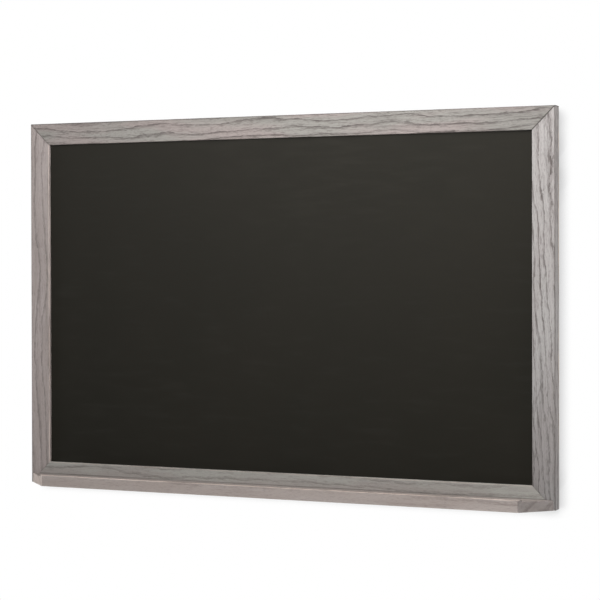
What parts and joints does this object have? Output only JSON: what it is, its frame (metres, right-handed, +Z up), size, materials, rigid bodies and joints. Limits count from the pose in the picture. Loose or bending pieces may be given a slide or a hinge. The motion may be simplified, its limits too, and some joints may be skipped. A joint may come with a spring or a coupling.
{
  "type": "wall-hung framed chalkboard with chalk tray",
  "caption": "Wide matt chalkboard in a mitred grey oak frame, with a lipped chalk tray along the bottom and D-ring hangers behind.",
  "frame": {"origin": "on the wall plane that the bumpers touch, behind the centre of the frame", "axes": "+X along the board's width, to the right as it is read; +Y into the wall, so the writing face looks along -Y; +Z up"},
  "size_m": [0.9144, 0.0715, 0.6096],
  "materials": {
    "driftwood_oak": "weathered grey stained oak, satin",
    "writing_enamel": "matt black-green enamel",
    "fibreboard": "bare fibreboard",
    "backing_sheet": "thin pale balancing sheet",
    "softwood": "bare planed softwood",
    "beech": "compressed beech",
    "zinc_steel": "zinc plated",
    "rubber": "matt"
  },
  "bodies": {
    "board": {"top_rail": "driftwood_oak", "bottom_rail": "driftwood_oak", "left_stile": "driftwood_oak", "right_stile": "driftwood_oak", "chalk_tray": "driftwood_oak", "writing_sheet": "writing_enamel", "panel_core": "fibreboard", "panel_backer": "backing_sheet", "retainer_top": "softwood", "retainer_bottom": "softwood", "retainer_left": "softwood", "retainer_right": "softwood", "retainer_brads": "zinc_steel", "v_nails": "zinc_steel", "biscuit_top_left": "beech", "bumper_top_left": "rubber", "biscuit_top_right": "beech", "bumper_top_right": "rubber", "biscuit_bottom_left": "beech", "bumper_bottom_left": "rubber", "biscuit_bottom_right": "beech", "bumper_bottom_right": "rubber", "tray_screws": "zinc_steel", "hanger_screws": "zinc_steel", "hanger_strap_left": "zinc_steel", "hanger_strap_right": "zinc_steel"},
    "ring_left": {"hanger_ring_left": "zinc_steel"},
    "ring_right": {"hanger_ring_right": "zinc_steel"}
  },
  "joints": [
    {"name": "left_ring_swing", "type": "hinge", "parent": "board", "child": "ring_left", "pos_m": [-0.443, -0.0031, 0.2148], "axis": [1, 0, 0], "range_deg": [0, 180]},
    {"name": "right_ring_swing", "type": "hinge", "parent": "board", "child": "ring_right", "pos_m": [0.443, -0.0031, 0.2148], "axis": [1, 0, 0], "range_deg": [0, 180]}
  ]
}
